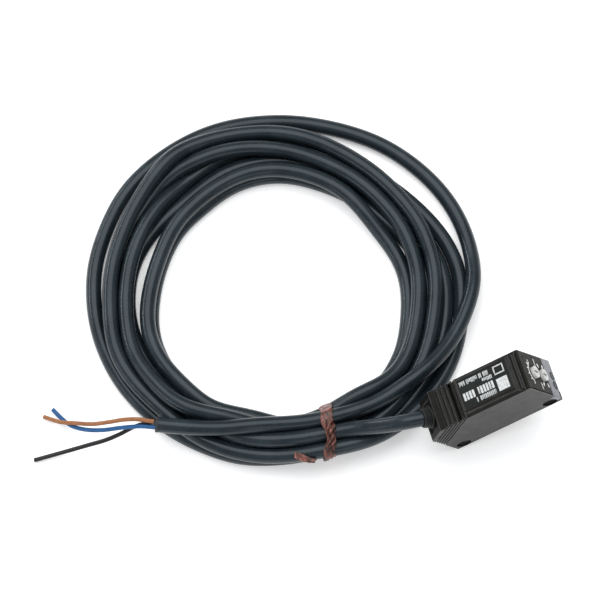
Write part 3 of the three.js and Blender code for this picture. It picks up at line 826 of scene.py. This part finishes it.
def back_face_cuts():
    """Label recess with a sunk line on each side of it, and the ribs by the end cover."""
    top = DEPTH + 0.6
    return [
        slab(LABEL_X, LABEL_Y, (DEPTH - LABEL_RECESS, top)),
        slab((12.4, 28.3), (-4.25, -3.95), (DEPTH - 0.18, top)),
        slab((12.4, 28.3), (4.88, 5.02), (DEPTH - 0.15, top)),
        slab((27.45, 27.75), (-3.8, 4.7), (DEPTH - 0.3, top)),
        slab((28.15, 28.95), RIB_Y, (DEPTH - 0.5, top)),
        slab((29.25, 29.6), RIB_Y, (DEPTH - 0.4, top)),
        slab((29.9, 30.1), RIB_Y, (DEPTH - 0.4, top)),
    ]


def mounting_hole_cuts():
    cuts = []
    for x in HOLE_X:
        place = (x, 0, HOLE_Z)
        cuts.append(turned(rod(HOLE_RADIUS, -HALF - 1, HALF + 1), place, (0, 1, 0)))
        counterbore = rod(COUNTERBORE_RADIUS, HALF - COUNTERBORE_DEPTH, HALF + 1)
        for side in (-1, 1):
            cuts.append(turned(counterbore, place, (0, side, 0)))
    return cuts


def inside_cut():
    corner = CHAMFER + WALL * (math.sqrt(2) - 2)
    boss = HOLE_Z + 2.5
    back = DEPTH - WALL
    outline = [
        (WALL, boss), (HOLE_X[0] + 2.6, boss), (HOLE_X[0] + 2.6, 1.5), (HOLE_X[1] - 2.8, 1.5),
        (HOLE_X[1] - 2.8, boss), (CASE_LENGTH + 0.5, boss), (CASE_LENGTH + 0.5, back),
        (WALL + corner, back), (WALL, back - corner),
    ]
    return prism(outline, WALL - HALF, HALF - WALL)


def make_case():
    outline = [(0, 0), (LENGTH, 0), (LENGTH, DEPTH), (CHAMFER, DEPTH), (0, DEPTH - CHAMFER)]
    cuts = [
        inside_cut(),
        slab((CASE_LENGTH, LENGTH + 1), (CHEEK - HALF, HALF - CHEEK), (COVER_FOOT - 0.1, DEPTH + 1)),
        slab((CASE_LENGTH, LENGTH + 1), (-HALF - 1, HALF + 1), (LUG_Z, COVER_FOOT - 0.05)),
        slab((CASE_LENGTH, LENGTH + 1), (LUG_Y, HALF + 1), (-1, LUG_Z + 0.2)),
        slab(WINDOW_X, (-WINDOW_Y, WINDOW_Y), (-1, 1.2)),
        slab((WINDOW_X[0] + 1, WINDOW_X[1] - 1), (1 - WINDOW_Y, WINDOW_Y - 1), (-1, 3)),
        cable_face_pocket(),
        turned(rod(2.75, -4, 1), CABLE_FACE, CABLE_AXIS),
        *back_face_cuts(),
        *mounting_hole_cuts(),
        *groove_cuts(),
    ]
    mesh = carved("sensor_case", prism(outline, -HALF, HALF), cuts)
    surface = moulded_plastic("case_black_plastic", (0.0090, 0.0086, 0.0076), 0.36, specular=0.14)
    # The bevelled edges get a lighter colour than the case: a painted highlight along every rounded edge.
    edge_highlight = moulded_plastic("case_painted_edge_highlight", (0.032, 0.032, 0.030), 0.34)
    housing_piece("sensor_case", mesh, surface, edge=0.11, nodes=["case_shell"],
                  edge_material=edge_highlight)


# ---- the label
def make_label():
    """A dark film in the recess, printed in white with plain bars and blocks only."""
    floor = DEPTH - LABEL_RECESS
    x = (LABEL_X[0] + 0.12, LABEL_X[1] - 0.12)
    y = (LABEL_Y[0] + 0.12, LABEL_Y[1] - 0.12)
    film = flat_plate(rounded(x, y, 0.45), floor + 0.02, floor + 0.17)
    surface = moulded_plastic("label_film", (0.010, 0.012, 0.0115), 0.32, specular=0.26, grain=0.0003,
                              depth=0.000003)
    housing_piece("label_film", mesh_of(film, "label_film"), surface, edge=0.04,
                  nodes=["label_plate"])
    print_mesh = mesh_of(label_print(floor + 0.17), "label_print")
    ink = Surface("label_ink", (0.52, 0.53, 0.53), 0.45)
    worn = ink.noise(0.0005, detail=4)
    ink.color_between(worn, (0.38, 0.39, 0.39), (0.58, 0.59, 0.59), 0.33, 0.5)
    ink.bump(worn, 0.000005)
    housing_piece("label_print", print_mesh, ink.material)


def flat_plate(outline, z0, z1):
    """An outline of (x, y) points, raised from z0 to z1."""
    return solid_between(([(x, y, z0) for x, y in outline], [(x, y, z1) for x, y in outline]))


# Rows of blank bars: x from and to, y from and to, and the widths the bars are drawn from.
PRINT_ROWS = (
    ((13.5, 22.4), (-1.05, 0.95), (0.42, 0.66)),
    ((16.7, 22.3), (-2.65, -1.4), (0.26, 0.46)),
    ((13.4, 21.8), (2.8, 4.05), (0.18, 0.34)),
    ((19.6, 22.4), (1.5, 2.5), (0.2, 0.36)),
)
INK_THICKNESS = 0.025


def label_print(z):
    """Bars in rows as lines of print would lie, a solid block, and a plain frame."""
    shape = bmesh.new()
    rng = np.random.default_rng(31)
    bars = []
    for (x, x_end), (y0, y1), (narrow, wide) in PRINT_ROWS:
        while x < x_end:
            width = rng.uniform(narrow, wide)
            low = y0 + rng.uniform(0, 0.3) * (y1 - y0) * (rng.random() < 0.35)
            bars.append(((x, min(x + width, x_end)), (low, y1)))
            x += width + 0.55 * narrow + (1.2 * wide if rng.random() < 0.14 else 0)
    bars.append(((23.1, 26.2), (-2.55, 0.65)))
    (x0, x1), (y0, y1), line = (23.2, 26.1), (1.75, 4.05), 0.34
    inner_y = (y0 + line, y1 - line)
    bars += [((x0, x1), (y0, inner_y[0])), ((x0, x1), (inner_y[1], y1)),
             ((x0, x0 + line), inner_y), ((x1 - line, x1), inner_y)]
    for x_span, y_span in bars:
        plate = flat_plate(rounded(x_span, y_span, 0.07, steps=2), z, z + INK_THICKNESS)
        mesh = mesh_of(plate, "bar")
        shape.from_mesh(mesh)
        bpy.data.meshes.remove(mesh)
    return shape


# ---- the indicator end
KNOBS = {"sensitivity": (13.3, "sensitivity_adjuster"), "mode": (8.0, "mode_selector")}
KNOB_RADIUS = 1.6
KNOB_TOP = LENGTH + 0.7
SLOT_HALF_WIDTH, SLOT_DEPTH = 0.28, 0.5
LONG_SLOT, SHORT_SLOT = 1.3, 0.8  # how far each arm of the cross reaches
NOTCH_COUNT, NOTCH_RADIUS, NOTCH_RING = 12, 0.22, 1.75


def make_end_cover():
    """The plate that the knobs come through, set between the case's cheeks."""
    near, far = 0.24 + CHEEK - HALF, HALF - CHEEK - 0.05
    plate = slab((CASE_LENGTH + 0.05, LENGTH), (near, far), (COVER_FOOT + 0.03, DEPTH - 0.05))
    cuts = [peg(0.28, LENGTH - 0.5, LENGTH + 1, 3.85, 17.3, 24)]
    for z, _ in KNOBS.values():
        cuts.append(peg(KNOB_RADIUS + 0.15, 29, 32, 0, z))
        cuts.append(peg(KNOB_RADIUS + 0.4, LENGTH - 0.22, 32, 0, z))
    cuts.append(slab((29.9, 30.3), RIB_Y, (DEPTH - 0.4, DEPTH + 1)))
    mesh = carved("end_cover", plate, cuts)
    surface = moulded_plastic("smoky_cover_plastic", (0.017, 0.018, 0.014), 0.42, specular=0.04,
                              depth=0.000003, shift=0.3)
    housing_piece("end_cover", mesh, surface, edge=0.1, nodes=["adjuster_cover"])


ARC_RADII, TICK_RADII, MODE_TICK_RADII = (2.8, 3.25), (3.2, 3.9), (2.3, 3.4)
ARC_STEP = 4.5


def scale_marks():
    """Plain printed marks round the knobs: an arc with ticks, and dividing lines."""
    marks = []
    knob_z = KNOBS["sensitivity"][0]
    for step in range(-13, 13):
        marks.append(arc_mark(knob_z, ARC_RADII, step * ARC_STEP, step * ARC_STEP + ARC_STEP))
    for angle in (-58, -34, -10, 14, 38, 58):
        marks.append(arc_mark(knob_z, TICK_RADII, angle - 3, angle + 3))
    for y, z in ((2.2, 10.9), (-4.3, 10.7)):
        marks.append([(y, z), (y + 2, z), (y + 2, z + 0.35), (y, z + 0.35)])
    mode_z = KNOBS["mode"][0]
    for angle in (118, 62, -62, -118):
        marks.append(arc_mark(mode_z, MODE_TICK_RADII, angle - 6, angle + 6))
    return marks


def arc_mark(z, radii, start, end):
    """(y, z) outline of a stretch of ring round a knob; 0 degrees points to the back."""
    outline = []
    for radius, angles in ((radii[0], (start, end)), (radii[1], (end, start))):
        for angle in angles:
            turn = math.radians(angle)
            outline.append((radius * math.sin(turn), z + radius * math.cos(turn)))
    return outline


def make_scale():
    face, ink_face = LENGTH, LENGTH + INK_THICKNESS
    shape = solid_between(*(([(face, y, z) for y, z in mark], [(ink_face, y, z) for y, z in mark])
                            for mark in scale_marks()))
    ink = Surface("scale_ink", (0.8, 0.8, 0.78), 0.4)
    ink.color_between(ink.noise(0.0004, detail=4), (0.6, 0.6, 0.58), (0.86, 0.86, 0.84), 0.3, 0.55)
    housing_piece("scale_print", mesh_of(shape, "scale_print"), ink.material)


def make_knobs():
    """Cream heads that stand proud, with a cross slot and a notched rim; a dark disc under each slot is
    painted shade in the slot.
    """
    surface = moulded_plastic("knob_cream_plastic", (0.60, 0.60, 0.585), 0.38, depth=0.000004, shift=0.1)
    shade = moulded_plastic("knob_slot_painted_shade", (0.10, 0.10, 0.105), 0.6, shift=0.2)
    slot_x = (KNOB_TOP - SLOT_DEPTH, 33)
    for name, (z, body) in KNOBS.items():
        profile = [(0, 27.9), (0.9, 27.9), (0.9, 29.95), (KNOB_RADIUS, 29.95),
                   (KNOB_RADIUS, KNOB_TOP), (0, KNOB_TOP)]
        cuts = [
            slab(slot_x, (-SLOT_HALF_WIDTH, SLOT_HALF_WIDTH), (z - LONG_SLOT, z + LONG_SLOT)),
            slab(slot_x, (-SHORT_SLOT, SHORT_SLOT), (z - SLOT_HALF_WIDTH, z + SLOT_HALF_WIDTH)),
        ]
        for step in range(NOTCH_COUNT):
            angle = 2 * math.pi * step / NOTCH_COUNT
            y, up = NOTCH_RING * math.sin(angle), NOTCH_RING * math.cos(angle)
            cuts.append(peg(NOTCH_RADIUS, 30.7, 33, y, z + up, 12))
        # A dark disc at the bottom of the cross slot: painted shade, where the slot would lie in shadow.
        shade_disc = peg(LONG_SLOT + 0.04, KNOB_TOP - SLOT_DEPTH - 0.1, KNOB_TOP - SLOT_DEPTH + 0.04, 0, z, 32)
        housing_piece(f"{name}_slot_shade_disc", mesh_of(shade_disc, f"{name}_slot_shade_disc"), shade,
                      body)
        mesh = carved(f"{name}_dial", turned(profile, (0, 0, z), (1, 0, 0)), cuts)
        housing_piece(f"{name}_dial", mesh, surface, body, 0.06, [f"{name}_knob"])


LAMPS = {"stability_led": (0.85, (0.003, 0.020, 0.012), "green_led"),
         "operation_led": (-1.75, (0.012, 0.008, 0.024), "orange_led")}
LAMP_Z = 1.75
LAMP_RADIUS, LAMP_OPENING = 1.09, 1.15


def make_indicator_window():
    """Frosted clear moulding round the two indicator lamps, with a rounded outer edge."""
    back, face = CASE_LENGTH + 0.05, LENGTH
    outline = [(back, 0.02), (face - 0.4, 0.02), (face - 0.12, 0.14), (face, 0.4),
               (face, COVER_FOOT - 0.1), (back, COVER_FOOT - 0.1)]
    pocket = slab((back - 1, face - 0.35), (-3.6, 3.6), (0.6, 4.9))
    lug_space = slab((29, 33), (-HALF - 1, LUG_Y + 0.06), (-1, LUG_Z + 0.06))
    cuts = [pocket, lug_space]
    for y, _, _ in LAMPS.values():
        cuts.append(peg(LAMP_OPENING, 29, 32, y, LAMP_Z, 32))
    mesh = carved("indicator_lens", prism(outline, -HALF, HALF), cuts)
    surface = Surface("clear_polycarbonate", (0.17, 0.17, 0.20), 0.12, IOR=1.5, Alpha=0.85)
    surface.set("Specular IOR Level", 0.25)
    surface.color_between(surface.noise(0.0015), (0.13, 0.13, 0.16), (0.21, 0.21, 0.25))
    surface.roughness_between(surface.noise(0.002), 0.06, 0.16)
    surface.bump(surface.noise(0.003, detail=1), 0.00003, 0.5)
    housing_piece("indicator_lens", mesh, surface.material, edge=0.12,
                  nodes=["indicator_window"])


def make_lamps():
    """Domed lamp bodies, flush with the face of the window round them."""
    profile = [(0, 30.3), (LAMP_RADIUS, 30.3), (LAMP_RADIUS, LENGTH - 0.4), (0.95, LENGTH - 0.2),
               (0.6, LENGTH - 0.08), (0, LENGTH - 0.05)]
    for name, (y, color, slot) in LAMPS.items():
        mesh = mesh_of(turned(profile, (0, y, LAMP_Z), (1, 0, 0), 32), f"{name}_dome")
        housing_piece(f"{name}_dome", mesh, lamp_material(f"{name}_epoxy", color), nodes=[name])


# ---- the cable bushing
def make_bushing():
    """Ringed rubber strain relief, moulded round the cable where it leaves the case."""
    bore = CABLE_DIAMETER / 2 + 0.03
    profile = [(bore, -2.5), (2.7, -2.5), (2.7, -0.3), (2.9, -0.3), (2.95, 0.2), (2.85, 0.4), (2.35, 0.5)]
    for ring in range(3):
        start = 0.62 + ring * 0.56
        bulge = 2.6 - 0.05 * ring
        profile += [(bulge - 0.25, start), (bulge, start + 0.12), (bulge, start + 0.3),
                    (bulge - 0.25, start + 0.42)]
    profile += [(bore + 0.18, 2.4), (bore, 2.35), (bore, -2.5)]
    surface = moulded_plastic("bushing_rubber", (0.010, 0.011, 0.011), 0.5, specular=0.22, grain=0.0002,
                              depth=0.00001)
    mesh = mesh_of(turned(profile, CABLE_FACE, CABLE_AXIS, 64), "strain_relief")
    housing_piece("strain_relief", mesh, surface, edge=0.05, nodes=["cable_bushing"])


# ---- looks for the CAD nodes that keep their own shape
def board_material(name, mask, copper):
    """Circuit board: solder mask with faint copper tracks showing through."""
    surface = Surface(name, mask, 0.35)
    tracks = surface.noise(0.0009, detail=1, stretch=(1, 1, 0.25))
    surface.color_between(tracks, mask, copper, 0.49, 0.52)
    surface.roughness_between(surface.noise(0.001), 0.28, 0.45)
    surface.bump(tracks, 0.00003, 0.5)
    return surface.material


def lamp_material(name, color):
    """Tinted epoxy lamp body, unlit."""
    surface = Surface(name, color, 0.18, IOR=1.5, Transmission_Weight=0.1)
    surface.set("Specular IOR Level", 0.12)
    surface.color_between(surface.noise(0.0006), tuple(c * 0.6 for c in color), color)
    surface.roughness_between(surface.noise(0.0004), 0.12, 0.28)
    return surface.material


def metal_material(name, color, roughness):
    """Drawn metal with fine marks along its length."""
    surface = Surface(name, color, roughness, metallic=1.0)
    marks = surface.noise(0.0002, detail=3, stretch=(0.1, 1, 1))
    surface.color_between(marks, tuple(c * 0.8 for c in color), color)
    surface.roughness_between(surface.noise(0.0009), roughness - 0.08, roughness + 0.12)
    surface.bump(marks, 0.000006)
    return surface.material


def optical_material():
    """Tinted acrylic that passes the sensor's own light and looks nearly black."""
    surface = Surface("filter_acrylic", (0.035, 0.006, 0.012), 0.06, IOR=1.49, Coat_Weight=0.4)
    surface.color_between(surface.noise(0.008, detail=2), (0.026, 0.004, 0.009), (0.045, 0.008, 0.015))
    surface.roughness_between(surface.noise(0.002), 0.03, 0.1)
    return surface.material


def lens_material():
    surface = Surface("lens_acrylic", (0.95, 0.95, 0.97), 0.03, IOR=1.49, Transmission_Weight=1.0)
    surface.roughness_between(surface.noise(0.001), 0.01, 0.05)
    return surface.material


def dress_cad_nodes():
    """New materials for the inner pieces, which keep their CAD shapes."""
    looks = (
        (board_material("green_board", (0.012, 0.075, 0.030), (0.04, 0.14, 0.05)), ("main_circuit_board",)),
        (board_material("white_board", (0.62, 0.62, 0.70), (0.42, 0.42, 0.55)), ("indicator_board",)),
        (lamp_material("emitter_lamp", (0.45, 0.35, 0.38)), ("emitter_led",)),
        (lamp_material("photodiode_epoxy", (0.02, 0.02, 0.03)), ("receiver_photodiode",)),
        (moulded_plastic("seal_rubber", (0.02, 0.02, 0.02), 0.6), ("sensitivity_seal", "mode_seal")),
        (moulded_plastic("rotor_plastic", (0.55, 0.54, 0.50), 0.4), ("sensitivity_rotor", "mode_rotor")),
        (moulded_plastic("frame_plastic", (0.02, 0.02, 0.022), 0.45),
         ("adjuster_frame", "optical_holder", "cable_clamp")),
        (moulded_plastic("trimmer_plastic", (0.03, 0.07, 0.20), 0.4),
         ("sensitivity_potentiometer", "mode_switch")),
        (moulded_plastic("chip_epoxy", (0.022, 0.022, 0.024), 0.55), ("control_ic", "output_transistor")),
        (moulded_plastic("capacitor_ceramic", (0.34, 0.22, 0.12), 0.35), ("filter_capacitor",)),
        (metal_material("tinned_steel", (0.66, 0.66, 0.64), 0.32), ("shield_can",)),
        (optical_material(), ("front_window",)),
        (lens_material(), ("emitter_lens", "receiver_lens")),
    )
    for material, names in looks:
        for name in names:
            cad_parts[name].data.materials[0] = material
    for colour, shade in WIRE_COLORS.items():
        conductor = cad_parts[f"conductor_{colour}"]
        conductor.data.materials[0] = wire_material(f"{colour}_conductor_pvc", shade)


make_camera()
make_studio()
cable, cable_line = make_cable()
tie = make_tie(cable_line)
cut_end = make_cut_end(cable_line)
make_wires()
make_case()
make_label()
make_end_cover()
make_scale()
make_knobs()
make_indicator_window()
make_lamps()
make_bushing()
dress_cad_nodes()
